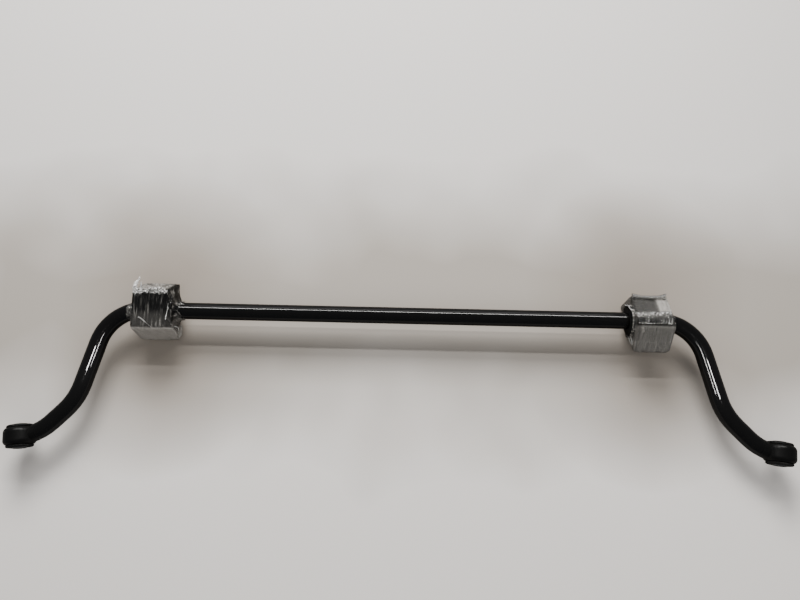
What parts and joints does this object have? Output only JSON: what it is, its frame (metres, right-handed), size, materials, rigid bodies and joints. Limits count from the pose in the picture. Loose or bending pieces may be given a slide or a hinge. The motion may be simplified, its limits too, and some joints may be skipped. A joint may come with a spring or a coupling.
{
  "type": "sway bar",
  "caption": "Bent steel sway bar with bushed link eyes and turning rubber-lined brackets wrapped in clear film.",
  "frame": {"origin": "middle of the straight torsion section, on the bar's axis", "axes": "+X along the torsion section, -Y the way the arms reach, +Z square to the plane of the arms"},
  "size_m": [1.079, 0.2419, 0.0641],
  "materials": {
    "bar_paint": "gloss black paint",
    "bracket_paint": "satin black coating",
    "bushing_rubber": "moulded matte rubber",
    "bush_rubber": "moulded matte rubber",
    "bush_steel": "plain zinc-plated steel",
    "packing_film": "clear stretch film"
  },
  "bodies": {
    "bar": {"torsion_bar": "bar_paint", "left_link_outer_sleeve": "bush_steel", "left_link_rubber": "bush_rubber", "right_link_outer_sleeve": "bush_steel", "right_link_rubber": "bush_rubber"},
    "left_mount": {"left_bushing": "bushing_rubber", "left_bracket": "bracket_paint", "left_film_wrap": "packing_film"},
    "right_mount": {"right_bushing": "bushing_rubber", "right_bracket": "bracket_paint", "right_film_wrap": "packing_film"},
    "left_link_sleeve": {"left_link_inner_sleeve": "bush_steel"},
    "right_link_sleeve": {"right_link_inner_sleeve": "bush_steel"}
  },
  "joints": [
    {"name": "left_mount_turn", "type": "hinge", "parent": "bar", "child": "left_mount", "pos_m": [-0.356, 0, 0], "axis": [1, 0, 0], "continuous": true},
    {"name": "right_mount_turn", "type": "hinge", "parent": "bar", "child": "right_mount", "pos_m": [0.356, 0, 0], "axis": [1, 0, 0], "continuous": true},
    {"name": "left_link_twist", "type": "hinge", "parent": "bar", "child": "left_link_sleeve", "pos_m": [-0.51846, -0.18207, 0], "axis": [0.1392, -0.9903, 0], "range_deg": [-20, 20], "stiffness_Nm_per_rad": 2},
    {"name": "right_link_twist", "type": "hinge", "parent": "bar", "child": "right_link_sleeve", "pos_m": [0.51846, -0.18207, 0], "axis": [-0.1392, -0.9903, 0], "range_deg": [-20, 20], "stiffness_Nm_per_rad": 2}
  ]
}
